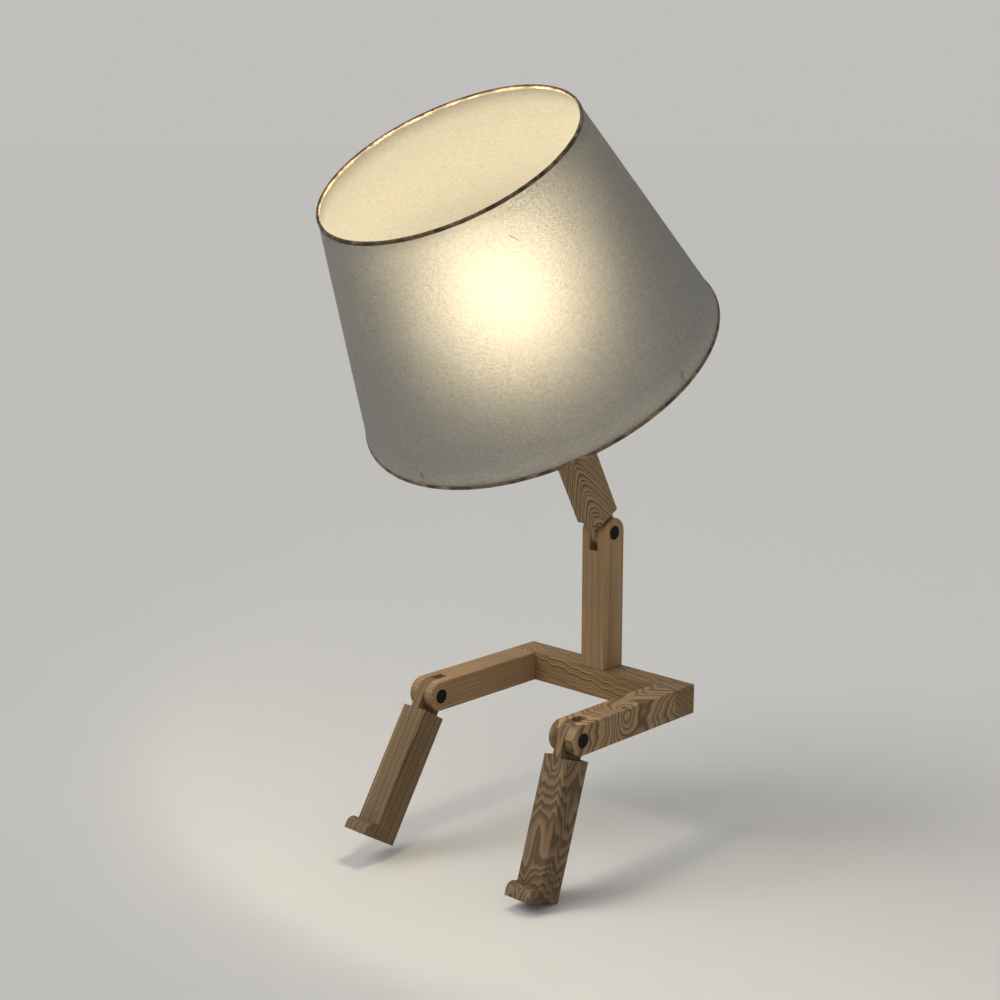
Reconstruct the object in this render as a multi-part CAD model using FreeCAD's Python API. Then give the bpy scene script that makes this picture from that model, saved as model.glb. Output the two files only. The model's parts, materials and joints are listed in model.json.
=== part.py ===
# Seated wooden figure lamp: square ash bars joined by forked knuckles, with a paper drum shade.
# Millimetres, +Z up, the figure faces -Y. The origin is the middle of the crossbar's underside.
# The model stands in the pose it sits in on a shelf edge: shins hanging forward, head nodding.
import FreeCAD, Part
import math
import os

V = FreeCAD.Vector
X_AXIS = V(1, 0, 0)
Z_AXIS = V(0, 0, 1)

# Bars
bar = 20.0                  # side of every planed bar
arris = 0.8                 # rounding of the bars' long edges
seat_width = 144.0          # length of the crossbar
thigh_reach = 92.0          # crossbar's front face to the knee's axis
torso_reach = 94.0          # crossbar's top to the neck's axis
shin_reach = 102.0          # knee's axis to the sole
neck_reach = 100.0          # neck's axis to the middle of the neck's upper end
toe_length = 9.2            # how far a toe stands out in front of its shin
toe_height = 9.2
toe_round = 5.5             # radius of the toe's upper front edge

# Pose
head_nod = 28.0             # neck from upright, degrees
end_mitre = 4.0             # neck's upper end from square, degrees
left_swing = 32.0           # left shin from hanging straight down, degrees
right_swing = 18.0

# Knuckles
tongue_width = 6.4
slot_gap = 2.0              # tongue's round end to the bottom of the slot
shoulder_gap = 3.0          # ears' round ends to the tongue's shoulders
washer_thick = 0.3
washer_across = 16.0
side_play = 0.02            # each face of a washer
sleeve_across = 6.0
sleeve_short = 0.6          # sleeve's end short of the far flange
screw_across = 4.0
flange_thick = 1.4
flange_play = 0.3           # radial, a flange in its counterbore
plug_across = 9.6
plug_thick = 1.8
plug_gap = 0.2              # behind a plug
running_play = 0.05         # radial, tongue on sleeve
push_play = 0.02            # radial, pieces pushed or screwed home
hex_across = 2.5            # key socket in a screw
hex_deep = 0.9

# Dowels
dowel_across = 6.0
dowel_length = 24.0
dowel_pitch = 9.0
dowel_bevel = 0.8
glue_room = 0.5             # past each end of a dowel
glue_film = 0.05            # radial

# Cable way through the neck
cable_way = 8.0             # drilled passage
inlet_drop = 8.0            # nipple's lower end to the inlet's axis
bush_across = 11.0
bush_depth = 7.0
bush_flange_across = 14.0
bush_flange_thick = 1.6
bush_bore = 6.6
way_overrun = 2.0           # passage drilled past the inlet's axis

# Nipple and nut
nipple_across = 10.0
nipple_bore = 7.0
nipple_in_neck = 20.0
nipple_proud = 1.0          # nipple's end past its nut
nut_flats = 14.0
nut_thick = 3.5

# Lampholder
insert_across = 31.0
insert_thick = 12.0
insert_boss_across = 20.0
insert_boss_thick = 6.0
moulding_play = 0.1         # radial, between mouldings
skirt_wall = 2.1            # body's wall round the insert
skirt_lap = 4.0             # part of the body inside the dome
dome_wall = 2.2
dome_floor = 3.5
dome_height = 20.0
dome_collar_across = 22.0
dome_collar_height = 7.0
body_flange_height = 6.0
thread_step = 0.7           # body's flange over its thread
thread_lead = 1.0           # bevel at the thread's start
mouth_depth = 24.0          # holder's rim down to the insert
mouth_play = 1.2            # radial, bulb's cap in the holder's mouth
contact_width = 5.0
contact_thick = 0.6
centre_contact_length = 14.0
side_contact_height = 9.0

# Bulb
cap_across = 26.2
cap_height = 20.0
cap_wall = 0.5
cap_rib = 0.5               # how far a thread rib stands out
cap_ribs = 4
cap_plain = 1.0             # plain band at each end of the cap's thread
tip_across = 9.0
tip_thick = 1.6
insulator_height = 3.4
insulator_inset = 1.0       # insulator's upper rim inside the cap's side
bulb_across = 55.0
bulb_length = 97.0
glass_wall = 1.0
glass_in_cap = 2.0          # part of the throat held in the cap
glass_proud = 2.0           # straight throat above the cap
glue_ring = 0.1             # radial, throat in the cap
shoulder_join = 32.0        # where the shoulder meets the globe, degrees below its middle
shoulder_out = 0.32         # shoulder's middle point, as shares of its way out and up
shoulder_up = 0.52

# Shade rings
ring_height = 5.0
ring_wall = 3.1             # collar round the thread
ring_flange_reach = 3.5     # flange past the collar
ring_flange_thick = 1.6
thread_over_ring = 3.5      # holder's rim above the upper ring

# Shade
shade_bottom_across = 238.0
shade_top_across = 168.0
shade_height = 152.0
paper_thick = 0.8
rim_wire_across = 1.2
tape_thick = 0.35
tape_reach = 2.3            # rim to the tape's edge, along the wall
wire_to_paper = 0.05
tape_play = 0.02

# Shade carrier
hub_height = 12.0           # lower rim to the hub ring's underside
hub_thick = 1.5
spoke_count = 4
spoke_across = 2.6
spoke_inset = 1.0           # ring's flange to a spoke's inner end
spoke_lap = 4.0             # a spoke's end over the hub ring
spoke_bend_height = 8.0     # lower rim to where a spoke turns down along the wall
spoke_bend_radius = 4.0
spoke_wall_gap = 0.15

# Worked out for the bars and knuckles
half = bar / 2
slot_drop = half + slot_gap
shoulder_drop = half + shoulder_gap
slot_width = tongue_width + 2 * washer_thick + 4 * side_play
plug_seat_depth = plug_thick + plug_gap + flange_thick
flange_across = plug_across + 2 * push_play - 2 * flange_play
neck_axis = V(0, 0, bar + torso_reach)
thigh_x = seat_width / 2 - half
left_knee = V(-thigh_x, -half - thigh_reach, half)
right_knee = V(thigh_x, -half - thigh_reach, half)
inlet_height = neck_reach - nipple_in_neck - inlet_drop

# Worked out for the lampholder and bulb: heights from the neck's end, and radii
insert_top = dome_height + insert_thick
body_top = insert_top + mouth_depth
socket_radius = insert_across / 2 + moulding_play
skirt_radius = socket_radius + skirt_wall
dome_radius = skirt_radius + moulding_play + dome_wall
thread_radius = dome_radius - thread_step
mouth_radius = cap_across / 2 + mouth_play
throat_radius = cap_across / 2 - cap_rib - cap_wall - glue_ring
tip_base = insert_top + contact_thick
insulator_base = tip_base + tip_thick
cap_base = insulator_base + insulator_height
cap_top = cap_base + cap_height

# Worked out for the shade: heights from the neck's end, and radii
hub_seat = body_top - thread_over_ring - ring_height - hub_thick
hub_bore_radius = thread_radius + moulding_play
ring_collar_radius = hub_bore_radius + ring_wall
ring_radius = ring_collar_radius + ring_flange_reach
hub_radius = ring_radius + spoke_inset + spoke_lap
shade_base = hub_seat - hub_height
bead = rim_wire_across / 2 + tape_play + tape_thick
wall_foot_radius = shade_bottom_across / 2 - bead
wall_head_radius = shade_top_across / 2 - bead
lean = math.atan2(wall_foot_radius - wall_head_radius, shade_height - 2 * bead)
paper_start = bead + rim_wire_across / 2 + wire_to_paper

# Cutters reach this far past what they cut, and edges are picked to this closeness.
past = 1.0
near = 1e-6


def turned(shape, angle, place):
    """A copy turned about the X axis through the origin, then moved."""
    out = shape.copy()
    out.rotate(V(0, 0, 0), X_AXIS, angle)
    out.translate(place)
    return out


def rod(radius, length, start, direction):
    return Part.makeCylinder(radius, length, start, direction)


def block(x, y, z, corner):
    return Part.makeBox(x, y, z, corner)


def cross_rod(radius, length):
    """A rod along X, centred on the origin."""
    return rod(radius, length, V(-length / 2, 0, 0), X_AXIS)


def revolved(points):
    """A solid of revolution about Z from (radius, height) points. A triple is an arc's middle."""
    edges = []
    last = points[0]
    middle = None
    for point in points[1:] + points[:1]:
        if len(point) == 3:
            middle = point
            continue
        a = V(last[0], 0, last[1])
        b = V(point[0], 0, point[1])
        if middle is not None:
            edges.append(Part.Arc(a, V(middle[0], 0, middle[1]), b).toShape())
        elif a.distanceToPoint(b) > near:
            edges.append(Part.LineSegment(a, b).toShape())
        last = point
        middle = None
    return Part.Face(Part.Wire(edges)).revolve(V(0, 0, 0), Z_AXIS, 360)


def side_plate(edges):
    """A bar-thick plate, centred on X = 0, from the edges of its outline in the YZ plane."""
    face = Part.Face(Part.Wire(edges))
    face.translate(V(-half, 0, 0))
    return face.extrude(V(bar, 0, 0))


def line(a, b):
    return Part.LineSegment(V(0, *a), V(0, *b)).toShape()


def arc(a, middle, b):
    return Part.Arc(V(0, *a), V(0, *middle), V(0, *b)).toShape()


def eased(plate, keep_sharp):
    """Rounds the outline's edges on both broad sides, but for those that keep_sharp picks."""
    edges = []
    for edge in plate.Edges:
        box = edge.BoundBox
        on_side = box.XLength < near and abs(abs(box.XMin) - half) < near
        if on_side and not keep_sharp(box):
            edges.append(edge)
    return plate.makeFillet(arris, edges)


def knuckle_end(length, foot_edges=None):
    """A bar that hangs from a round end at the origin. foot_edges replaces its square end."""
    square = [line((half, -length), (-half, -length))]
    outline = [arc((-half, 0), (0, half), (half, 0)), line((half, 0), (half, -length))]
    outline += foot_edges or square
    foot_top = foot_edges[-1].Vertexes[-1].Point if foot_edges else V(0, -half, -length)
    outline.append(line((-half, foot_top.z), (-half, 0)))
    return side_plate(outline)


def forked_bar(length):
    """A bar whose round end at the origin is a fork with two ears; it hangs down to a butt end."""
    body = eased(knuckle_end(length), lambda box: box.ZMax < -length + near)
    slot_corner = V(-slot_width / 2, -half - past, -slot_drop)
    body = body.cut(block(slot_width, bar + 2 * past, slot_drop + bar, slot_corner))
    body = body.cut(cross_rod(sleeve_across / 2 + push_play, bar + 2 * past))
    for side in (-1, 1):
        floor = V(side * (half - plug_seat_depth), 0, 0)
        seat = rod(plug_across / 2 + push_play, plug_seat_depth + past, floor, V(side, 0, 0))
        body = body.cut(seat)
    return body


def tongued(body):
    """Cuts the tongue and its shoulders at the round end of a bar, with the pivot's hole."""
    cheek = (bar - tongue_width) / 2 + past
    for x in (tongue_width / 2, -tongue_width / 2 - cheek):
        corner = V(x, -half - past, -shoulder_drop)
        body = body.cut(block(cheek, bar + 2 * past, shoulder_drop + bar, corner))
    return body.cut(cross_rod(sleeve_across / 2 + running_play, bar + 2 * past))


def drill_pair(body, start, direction, spread):
    """Two dowel holes into a bar, apart along spread."""
    radius = dowel_across / 2 + glue_film
    depth = dowel_length / 2 + glue_room
    for side in (-1, 1):
        at = start + spread * (side * dowel_pitch / 2)
        body = body.cut(rod(radius, depth, at, direction))
    return body


def dowel_pair(middle, direction, spread):
    """Two bevelled dowels, half in each of the bars that meet at middle."""
    dowels = []
    for side in (-1, 1):
        start = middle + spread * (side * dowel_pitch / 2) - direction * (dowel_length / 2)
        dowel = rod(dowel_across / 2, dowel_length, start, direction)
        rims = [edge for edge in dowel.Edges if isinstance(edge.Curve, Part.Circle)]
        dowels.append(dowel.makeChamfer(dowel_bevel, rims))
    return Part.makeCompound(dowels)


def crossbar():
    body = block(seat_width, bar, bar, V(-seat_width / 2, -half, 0))
    back_and_ends = []
    for edge in body.Edges:
        box = edge.BoundBox
        at_front = box.YMax < -half + near
        if not at_front:
            back_and_ends.append(edge)
    body = body.makeFillet(arris, back_and_ends)
    # The front edges are eased only between the thighs.
    span = seat_width - 2 * bar
    for z_edge, z_centre in ((bar, bar - arris), (0, arris)):
        corner = block(span, arris, arris, V(-span / 2, -half, min(z_edge, z_centre)))
        corner = corner.cut(rod(arris, span, V(-span / 2, -half + arris, z_centre), X_AXIS))
        body = body.cut(corner)
    for side in (-1, 1):
        body = drill_pair(body, V(side * thigh_x, -half, half), V(0, 1, 0), X_AXIS)
    return drill_pair(body, V(0, 0, bar), V(0, 0, -1), X_AXIS)


def thigh(knee):
    body = drill_pair(forked_bar(thigh_reach), V(0, 0, -thigh_reach), Z_AXIS, X_AXIS)
    return turned(body, 90, knee)


def torso():
    body = drill_pair(forked_bar(torso_reach), V(0, 0, -torso_reach), Z_AXIS, X_AXIS)
    return turned(body, 0, neck_axis)


def shin(knee, swing):
    toe_front = -half - toe_length
    toe_top = -shin_reach + toe_height
    slant = toe_round * (1 - math.sqrt(0.5))
    foot = [
        line((half, -shin_reach), (toe_front, -shin_reach)),
        line((toe_front, -shin_reach), (toe_front, toe_top - toe_round)),
        arc((toe_front, toe_top - toe_round), (toe_front + slant, toe_top - slant),
            (toe_front + toe_round, toe_top)),
        line((toe_front + toe_round, toe_top), (-half, toe_top)),
    ]
    body = tongued(eased(knuckle_end(shin_reach, foot), lambda box: False))
    return turned(body, -swing, knee)


def head_frame(shape):
    """Moves a shape from the lampholder's frame, upright on the neck's end, to its place."""
    out = turned(shape, end_mitre, V(0, 0, neck_reach))
    return turned(out, head_nod, neck_axis)


def neck():
    """Tongue at the axis, mitred upper end, and the way from the inlet up to the nipple's hole."""
    blank = knuckle_end(neck_reach + bar)
    body = tongued(eased(blank, lambda box: box.ZMax < -neck_reach - bar + near))
    body = turned(body, 180, V(0, 0, 0))
    upper_end = V(0, 0, neck_reach)
    waste = block(3 * bar, 3 * bar, 2 * bar, V(-1.5 * bar, -1.5 * bar, 0))
    body = body.cut(turned(waste, end_mitre, upper_end))
    way_depth = neck_reach - inlet_height + way_overrun
    nipple_hole = rod(nipple_across / 2 + push_play, nipple_in_neck, V(0, 0, -nipple_in_neck), Z_AXIS)
    way = rod(cable_way / 2, way_depth, V(0, 0, -way_depth), Z_AXIS)
    body = body.cut(turned(nipple_hole.fuse(way), end_mitre, upper_end))
    side_way = rod(cable_way / 2, half, V(0, 0, inlet_height), V(0, 1, 0))
    seat_floor = V(0, half - bush_depth, inlet_height)
    bush_seat = rod(bush_across / 2 + push_play, bush_depth, seat_floor, V(0, 1, 0))
    return turned(body.cut(side_way).cut(bush_seat), head_nod, neck_axis)


def cable_bush():
    body = rod(bush_across / 2, bush_depth, V(0, half - bush_depth, inlet_height), V(0, 1, 0))
    flange = rod(bush_flange_across / 2, bush_flange_thick, V(0, half, inlet_height), V(0, 1, 0))
    rim = [edge for edge in flange.Edges if edge.BoundBox.YMin > half + bush_flange_thick - near]
    flange = flange.makeFillet(bush_flange_thick / 2, rim)
    length = bush_depth + bush_flange_thick + 2 * past
    bore = rod(bush_bore / 2, length, V(0, half - bush_depth - past, inlet_height), V(0, 1, 0))
    return turned(body.fuse(flange).cut(bore), head_nod, neck_axis)


def sleeve_nut(at):
    """The pivot: a flanged sleeve let into the ear on the +X side, threaded inside."""
    floor = half - plug_seat_depth
    flange = rod(flange_across / 2, flange_thick, V(floor, 0, 0), X_AXIS)
    length = 2 * floor - sleeve_short
    sleeve = rod(sleeve_across / 2, length, V(floor - length, 0, 0), X_AXIS)
    bore = rod(screw_across / 2 + push_play, length, V(floor - length, 0, 0), X_AXIS)
    return turned(flange.fuse(sleeve).cut(bore), 0, at)


def hexagon(flats, height, place, direction):
    """A six-sided prism from place along direction."""
    corners = []
    for turn in range(7):
        bearing = math.radians(60 * turn)
        reach = flats / math.sqrt(3)
        corners.append(V(reach * math.cos(bearing), reach * math.sin(bearing), 0))
    prism = Part.Face(Part.makePolygon(corners)).extrude(V(0, 0, height))
    prism.Placement = FreeCAD.Placement(place, FreeCAD.Rotation(Z_AXIS, direction))
    return prism


def pivot_screw(at):
    """The flanged screw that draws the ears together, with a key socket in its head."""
    floor = half - plug_seat_depth
    face = V(-floor - flange_thick, 0, 0)
    head = rod(flange_across / 2, flange_thick, face, X_AXIS)
    shank = rod(screw_across / 2, 2 * (floor - sleeve_short), V(-floor, 0, 0), X_AXIS)
    socket = hexagon(hex_across, hex_deep, face, X_AXIS)
    return turned(head.fuse(shank).cut(socket), 0, at)


def friction_washers(at):
    inner = tongue_width / 2 + side_play
    disc = rod(washer_across / 2, washer_thick, V(inner, 0, 0), X_AXIS)
    disc = disc.cut(cross_rod(sleeve_across / 2 + running_play, bar))
    other = disc.mirror(V(0, 0, 0), X_AXIS)
    return turned(Part.makeCompound([disc, other]), 0, at)


def plugs(at):
    plug = rod(plug_across / 2, plug_thick, V(half - plug_thick, 0, 0), X_AXIS)
    return turned(Part.makeCompound([plug, plug.mirror(V(0, 0, 0), X_AXIS)]), 0, at)


def nipple():
    length = nipple_in_neck + dome_floor + nut_thick + nipple_proud
    tube = rod(nipple_across / 2, length, V(0, 0, -nipple_in_neck), Z_AXIS)
    bore = rod(nipple_bore / 2, length, V(0, 0, -nipple_in_neck), Z_AXIS)
    return head_frame(tube.cut(bore))


def nipple_nut():
    nut = hexagon(nut_flats, nut_thick, V(0, 0, dome_floor), Z_AXIS)
    bore = rod(nipple_across / 2 + push_play, nut_thick, V(0, 0, dome_floor), Z_AXIS)
    return head_frame(nut.cut(bore))


def holder_dome():
    """Collar, bevelled shoulder and straight skirt, one wall thick above a thicker floor."""
    collar = dome_collar_across / 2
    bore = nipple_across / 2 + push_play
    bulge = dome_radius - collar
    shoulder = dome_height - bulge / 2
    slope = math.sqrt(0.5)
    mid_r = collar + bulge * slope
    mid_z = shoulder - (shoulder - dome_collar_height) * slope
    outside = [(bore, 0), (collar, 0), (collar, dome_collar_height), (mid_r, mid_z),
               (dome_radius, shoulder), (dome_radius, dome_height)]
    inside = [(dome_radius - dome_wall, dome_height), (dome_radius - dome_wall, shoulder),
              (mid_r - dome_wall * slope, mid_z + dome_wall * slope),
              (collar - dome_wall, dome_collar_height + dome_wall * (1 - slope)),
              (collar - dome_wall, dome_floor), (bore, dome_floor)]
    return head_frame(revolved(outside + inside))


def holder_body():
    """Skirt inside the dome, flange on its rim, then the outer thread up to the mouth."""
    flange_top = dome_height + body_flange_height
    outside = [(socket_radius, dome_height - skirt_lap), (skirt_radius, dome_height - skirt_lap),
               (skirt_radius, dome_height), (dome_radius, dome_height), (dome_radius, flange_top),
               (thread_radius, flange_top), (thread_radius, body_top - thread_lead),
               (thread_radius - thread_lead, body_top)]
    inside = [(mouth_radius, body_top), (mouth_radius, insert_top), (socket_radius, insert_top)]
    return head_frame(revolved(outside + inside))


def holder_insert():
    boss_base = dome_height - insert_boss_thick
    return head_frame(revolved([
        (0, boss_base), (insert_boss_across / 2, boss_base), (insert_boss_across / 2, dome_height),
        (insert_across / 2, dome_height), (insert_across / 2, insert_top), (0, insert_top),
    ]))


def holder_contacts():
    """The strip under the bulb's tip, and the one that stands at the wall of the mouth."""
    centre = block(centre_contact_length, contact_width, contact_thick,
                   V(-centre_contact_length / 2, -contact_width / 2, insert_top))
    wall = math.sqrt(mouth_radius ** 2 - (contact_width / 2) ** 2) - moulding_play
    side = block(contact_thick, contact_width, side_contact_height,
                 V(wall - contact_thick, -contact_width / 2, insert_top))
    return head_frame(Part.makeCompound([centre, side]))


def shade_ring(upper):
    """A flanged ring on the holder's thread; the two of them grip the carrier's hub ring."""
    section = [(hub_bore_radius, 0), (ring_radius, 0), (ring_radius, ring_flange_thick),
               (ring_collar_radius, ring_flange_thick), (ring_collar_radius, ring_height),
               (hub_bore_radius, ring_height)]
    ring = revolved(section)
    if upper:
        ring.translate(V(0, 0, hub_seat + hub_thick))
    else:
        ring = ring.mirror(V(0, 0, 0), Z_AXIS)
        ring.translate(V(0, 0, hub_seat))
    return head_frame(ring)


def bulb_tip():
    return head_frame(rod(tip_across / 2, tip_thick, V(0, 0, tip_base), Z_AXIS))


def bulb_insulator():
    return head_frame(revolved([
        (0, insulator_base), (tip_across / 2, insulator_base),
        (cap_across / 2 - insulator_inset, cap_base), (0, cap_base),
    ]))


def bulb_cap():
    """A thin cup with pressed thread ribs."""
    crest = cap_across / 2
    valley = crest - cap_rib
    inner = valley - cap_wall
    pitch = (cap_height - 2 * cap_plain) / cap_ribs
    outside = [(0, cap_base), (valley, cap_base)]
    for rib in range(cap_ribs):
        start = cap_base + cap_plain + rib * pitch
        outside += [(valley, start), (crest, start + pitch / 2)]
    outside += [(valley, cap_top - cap_plain), (valley, cap_top)]
    inside = [(inner, cap_top), (inner, cap_base + cap_wall), (0, cap_base + cap_wall)]
    return head_frame(revolved(outside + inside))


def bulb_glass():
    """Throat, shoulder and globe, blown in one. Its hollow is bounded by flat bands."""
    globe = bulb_across / 2
    centre = tip_base + bulb_length - globe
    foot = cap_top - glass_in_cap
    join_r = globe * math.cos(math.radians(shoulder_join))
    join_z = centre - globe * math.sin(math.radians(shoulder_join))
    mid_r = throat_radius + (join_r - throat_radius) * shoulder_out
    mid_z = cap_top + (join_z - cap_top) * shoulder_up

    def on_globe(radius, degrees):
        up = math.radians(degrees)
        return radius * math.cos(up), centre + radius * math.sin(up)

    outside = revolved([
        (0, foot), (throat_radius, foot), (throat_radius, cap_top + glass_proud),
        (mid_r, mid_z, "arc"), on_globe(globe, -shoulder_join),
        on_globe(globe, 0) + ("arc",), on_globe(globe, 60),
        on_globe(globe, 75) + ("arc",), (0, centre + globe),
    ])
    inner = globe - glass_wall
    floor = foot + glass_wall
    hollow = revolved([
        (0, floor), (throat_radius - glass_wall, floor),
        (throat_radius - glass_wall, cap_top + glass_proud),
        (mid_r - 2 * glass_wall, mid_z), on_globe(inner, -shoulder_join), on_globe(inner, 0),
        on_globe(inner, 35), on_globe(inner, 65),
        (0, centre + inner),
    ])
    return head_frame(outside.cut(hollow))


def on_wall(along, outward, top=False):
    """A (radius, height) point: along runs from a rim into the wall, outward off its middle."""
    way = along - bead
    if top:
        r = wall_head_radius + way * math.sin(lean) + outward * math.cos(lean)
        return r, shade_base + shade_height - bead - way * math.cos(lean) + outward * math.sin(lean)
    r = wall_foot_radius - way * math.sin(lean) + outward * math.cos(lean)
    return r, shade_base + bead + way * math.cos(lean) + outward * math.sin(lean)


def shade():
    side = paper_thick / 2
    return head_frame(revolved([
        on_wall(paper_start, side), on_wall(paper_start, side, True),
        on_wall(paper_start, -side, True), on_wall(paper_start, -side),
    ]))


def rim_wire(top):
    """A hoop of wire, drawn with eight sides."""
    r, z = on_wall(bead, 0, top)
    reach = rim_wire_across / 2
    corners = []
    for turn in range(8):
        bearing = math.radians(45 * turn + 22.5)
        corners.append((r + reach * math.cos(bearing), z + reach * math.sin(bearing)))
    return head_frame(revolved(corners))


def rim_binding(top):
    """Tape folded round the rim wire and the paper's edge."""
    inner = rim_wire_across / 2 + tape_play
    slot = paper_thick / 2 + tape_play
    depth = bead + math.sqrt(inner ** 2 - slot ** 2)
    grip = slot + tape_thick
    eighth = math.tan(math.radians(22.5))
    outer = [(tape_reach, grip), (bead, bead), (bead - bead * eighth, bead), (0, bead * eighth)]
    lining = [(tape_reach, slot), (depth, slot), (bead + inner * eighth, inner),
              (bead - inner * eighth, inner), (bead - inner, inner * eighth)]
    ring = outer + [(along, -out) for along, out in reversed(outer)]
    ring += [(along, -out) for along, out in lining] + list(reversed(lining))
    return head_frame(revolved([on_wall(along, out, top) for along, out in ring]))


def spoke():
    """A wire from the hub ring out to the wall, bent down along it to the lower rim's tape."""
    off_wall = -paper_thick / 2 - spoke_wall_gap - spoke_across / 2
    foot_r, foot_z = on_wall(tape_reach, off_wall)
    bend_r, bend_z = on_wall(spoke_bend_height / math.cos(lean), off_wall)
    start = V(hub_radius - spoke_lap, 0, hub_seat + hub_thick / 2)
    corner = V(bend_r, 0, bend_z)
    foot = V(foot_r, 0, foot_z)
    toward_start = (start - corner).normalize()
    toward_foot = (foot - corner).normalize()
    turn = math.pi - toward_start.getAngle(toward_foot)
    trim = spoke_bend_radius * math.tan(turn / 2)
    a = corner + toward_start * trim
    b = corner + toward_foot * trim
    inward = (toward_start + toward_foot).normalize()
    centre = corner + inward * (spoke_bend_radius / math.cos(turn / 2))
    bend = Part.Arc(a, centre - inward * spoke_bend_radius, b).toShape()
    path = Part.Wire([Part.LineSegment(start, a).toShape(), bend, Part.LineSegment(b, foot).toShape()])
    section = Part.Wire(Part.makeCircle(spoke_across / 2, start, a - start))
    return path.makePipeShell([section], True, False)


def shade_carrier():
    """A flat hub ring with the spokes welded to it."""
    hub_top = hub_seat + hub_thick
    carrier = revolved([(hub_bore_radius, hub_seat), (hub_radius, hub_seat),
                        (hub_radius, hub_top), (hub_bore_radius, hub_top)])
    one = spoke()
    for number in range(spoke_count):
        arm = one.copy()
        arm.rotate(V(0, 0, 0), Z_AXIS, 360 * number / spoke_count)
        carrier = carrier.fuse(arm)
    return head_frame(carrier.removeSplitter())


nodes = {
    "crossbar": crossbar(),
    "left_thigh": thigh(left_knee),
    "right_thigh": thigh(right_knee),
    "torso": torso(),
    "left_thigh_dowels": dowel_pair(V(-thigh_x, -half, half), V(0, 1, 0), X_AXIS),
    "right_thigh_dowels": dowel_pair(V(thigh_x, -half, half), V(0, 1, 0), X_AXIS),
    "torso_dowels": dowel_pair(V(0, 0, bar), Z_AXIS, X_AXIS),
    "left_shin": shin(left_knee, left_swing),
    "right_shin": shin(right_knee, right_swing),
    "neck": neck(),
    "cable_bush": cable_bush(),
    "nipple": nipple(),
    "nipple_nut": nipple_nut(),
    "holder_dome": holder_dome(),
    "holder_body": holder_body(),
    "holder_insert": holder_insert(),
    "holder_contacts": holder_contacts(),
    "lower_shade_ring": shade_ring(False),
    "upper_shade_ring": shade_ring(True),
    "bulb_tip": bulb_tip(),
    "bulb_insulator": bulb_insulator(),
    "bulb_cap": bulb_cap(),
    "bulb_glass": bulb_glass(),
    "shade_carrier": shade_carrier(),
    "shade": shade(),
    "bottom_rim_wire": rim_wire(False),
    "top_rim_wire": rim_wire(True),
    "bottom_binding": rim_binding(False),
    "top_binding": rim_binding(True),
}
for joint, at in (("neck", neck_axis), ("left_knee", left_knee), ("right_knee", right_knee)):
    nodes[joint + "_sleeve_nut"] = sleeve_nut(at)
    nodes[joint + "_screw"] = pivot_screw(at)
    nodes[joint + "_washers"] = friction_washers(at)
    nodes[joint + "_plugs"] = plugs(at)

os.makedirs("parts", exist_ok=True)
for name, shape in nodes.items():
    shape.exportStep("parts/" + name + ".step")
    print(name, len(shape.Solids), round(shape.Volume, 2), shape.isValid())
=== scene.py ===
import bmesh
import bpy
import json
import math
from mathutils import Matrix, Vector, noise


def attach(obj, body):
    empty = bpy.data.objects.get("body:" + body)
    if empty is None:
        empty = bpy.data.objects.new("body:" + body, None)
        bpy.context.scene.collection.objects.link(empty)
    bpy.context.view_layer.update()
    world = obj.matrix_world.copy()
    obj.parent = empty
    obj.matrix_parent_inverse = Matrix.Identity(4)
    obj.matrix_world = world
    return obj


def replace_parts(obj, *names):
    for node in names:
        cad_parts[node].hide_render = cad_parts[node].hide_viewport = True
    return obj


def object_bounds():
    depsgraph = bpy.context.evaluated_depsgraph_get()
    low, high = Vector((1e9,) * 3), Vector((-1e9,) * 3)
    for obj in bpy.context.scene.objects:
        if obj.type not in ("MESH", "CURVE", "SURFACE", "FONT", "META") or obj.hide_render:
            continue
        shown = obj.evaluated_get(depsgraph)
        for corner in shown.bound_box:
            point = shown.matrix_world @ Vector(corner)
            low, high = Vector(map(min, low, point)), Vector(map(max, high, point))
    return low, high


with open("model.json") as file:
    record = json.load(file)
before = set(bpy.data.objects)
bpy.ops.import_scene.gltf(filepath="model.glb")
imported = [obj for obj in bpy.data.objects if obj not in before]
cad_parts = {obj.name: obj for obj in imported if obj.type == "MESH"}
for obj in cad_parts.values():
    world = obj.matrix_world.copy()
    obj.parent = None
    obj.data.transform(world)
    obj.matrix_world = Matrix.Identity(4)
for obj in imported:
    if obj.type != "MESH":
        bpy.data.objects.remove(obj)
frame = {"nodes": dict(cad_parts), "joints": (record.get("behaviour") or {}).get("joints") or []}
nodes = frame["nodes"]
joint = {entry["name"]: entry for entry in frame["joints"]}
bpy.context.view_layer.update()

scene = bpy.context.scene
scene.view_settings.view_transform = "Standard"


# Camera
# It stands where the photograph was taken from, worked out from the bars' edges: a little above the
# lamp and in front of its right side, with a short telephoto lens.
camera_azimuth = math.radians(43.571)
camera_elevation = math.radians(12.036)
camera_place = Vector((0.73004, -0.86788, 0.37632))
camera_back = Vector((math.sin(camera_azimuth) * math.cos(camera_elevation),
                      -math.cos(camera_azimuth) * math.cos(camera_elevation),
                      math.sin(camera_elevation)))
camera_data = bpy.data.cameras.new("camera")
camera_data.sensor_width = 36.0
camera_data.lens = 62.26
camera = bpy.data.objects.new("camera", camera_data)
camera.location = camera_place
camera.rotation_mode = "QUATERNION"
camera.rotation_quaternion = (-camera_back).to_track_quat("-Z", "Y")
scene.collection.objects.link(camera)
scene.camera = camera


# Floor and light
# A wide plain floor a hair below the lower toe, an even pale surround, and one large soft lamp high in
# front on the left. Their level is plain, so a colour renders about as it is written.
def new_material(name):
    material = bpy.data.materials.new(name)
    material.use_nodes = True
    material.node_tree.nodes.clear()
    return material, material.node_tree


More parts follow.
